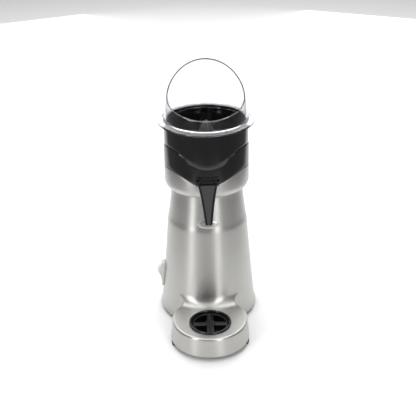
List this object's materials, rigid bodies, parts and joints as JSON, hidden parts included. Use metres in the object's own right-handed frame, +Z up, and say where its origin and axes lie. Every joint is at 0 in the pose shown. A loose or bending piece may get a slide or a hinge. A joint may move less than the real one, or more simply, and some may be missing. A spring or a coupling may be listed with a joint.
{
  "type": "citrus press juicer",
  "caption": "Citrus press juicer: tapered steel body with a round drip tray, black juice bowl with tilting spout, ribbed reamer and clear splash hood.",
  "frame": {"origin": "centre of the bounding box on the surface that the feet stand on", "axes": "+Z up along the motor shaft, -Y towards the spout and tray, +X to the right seen from the front; the switch is on the -X side"},
  "size_m": [0.1968, 0.3032, 0.4963],
  "materials": {
    "brushed_steel": "brushed",
    "satin_collar": "satin",
    "plain_steel": "rolled",
    "fastener": "plated",
    "motor_iron": "cast and laminated",
    "winding_copper": "varnished",
    "black_gloss": "polished",
    "black_matt": "matt",
    "reamer_grey": "satin",
    "silver_grey": "satin",
    "white_plastic": "matt",
    "black_rubber": "matt",
    "clear_plastic": "polished"
  },
  "bodies": {
    "housing": {"body_shell": "brushed_steel", "body_collar": "satin_collar", "deck_plate": "plain_steel", "base_plate": "plain_steel", "foot_front_left": "black_rubber", "foot_front_right": "black_rubber", "foot_rear_left": "black_rubber", "foot_rear_right": "black_rubber", "base_screw_1": "fastener", "base_screw_2": "fastener", "base_screw_3": "fastener", "base_screw_4": "fastener", "deck_screw_1": "fastener", "deck_screw_2": "fastener", "deck_screw_3": "fastener", "badge_plate": "satin_collar", "cord_gland": "black_rubber", "switch_bezel": "silver_grey", "switch_body": "black_matt", "upper_end_bracket": "motor_iron", "lower_end_bracket": "motor_iron", "stator_core": "motor_iron", "upper_winding": "winding_copper", "lower_winding": "winding_copper", "upper_bearing": "fastener", "lower_bearing": "fastener", "motor_mount_plate": "plain_steel", "motor_damper_1": "black_rubber", "motor_damper_2": "black_rubber", "motor_damper_3": "black_rubber", "shaft_seal": "black_rubber", "run_capacitor": "white_plastic", "terminal_block": "white_plastic"},
    "rotor": {"motor_shaft": "fastener", "rotor_core": "motor_iron", "cooling_fan": "black_matt"},
    "rocker": {"switch_rocker": "silver_grey"},
    "bowl": {"juice_bowl": "black_gloss"},
    "spout": {"spout_chute": "black_gloss"},
    "strainer": {"strainer": "black_gloss"},
    "reamer": {"reamer_cone": "reamer_grey", "drive_insert": "fastener"},
    "hood": {"splash_hood": "clear_plastic"},
    "drip_cup": {"drip_cup": "black_gloss"},
    "drip_grid": {"drip_grid": "black_gloss"}
  },
  "joints": [
    {"name": "motor_spin", "type": "hinge", "parent": "housing", "child": "rotor", "pos_m": [0.00255, 0.0542, 0.2], "axis": [0, 0, 1], "continuous": true},
    {"name": "rocker_tilt", "type": "hinge", "parent": "housing", "child": "rocker", "pos_m": [-0.08144, 0.0542, 0.069], "axis": [0, 1, 0], "range_deg": [0, 14]},
    {"name": "bowl_lift", "type": "slide", "parent": "housing", "child": "bowl", "axis": [0, 0, 1], "range_m": [0, 0.13]},
    {"name": "spout_tilt", "type": "hinge", "parent": "bowl", "child": "spout", "pos_m": [0.00255, -0.0368, 0.304], "axis": [-1, 0, 0], "range_deg": [0, 60]},
    {"name": "hood_lift", "type": "slide", "parent": "bowl", "child": "hood", "axis": [0, 0, 1], "range_m": [0, 0.15]},
    {"name": "strainer_lift", "type": "slide", "parent": "bowl", "child": "strainer", "axis": [0, 0, 1], "range_m": [0, 0.06]},
    {"name": "reamer_spin", "type": "hinge", "parent": "strainer", "child": "reamer", "pos_m": [0.00255, 0.0542, 0.36], "axis": [0, 0, 1], "continuous": true},
    {"name": "cup_lift", "type": "slide", "parent": "housing", "child": "drip_cup", "axis": [0, 0, 1], "range_m": [0, 0.06]},
    {"name": "grid_lift", "type": "slide", "parent": "drip_cup", "child": "drip_grid", "axis": [0, 0, 1], "range_m": [0, 0.03]}
  ],
  "couplings": [
    {"joint": "reamer_spin", "follows": "motor_spin", "ratio": 1},
    {"joint": "strainer_lift", "follows": "hood_lift", "ratio": 0.4}
  ]
}
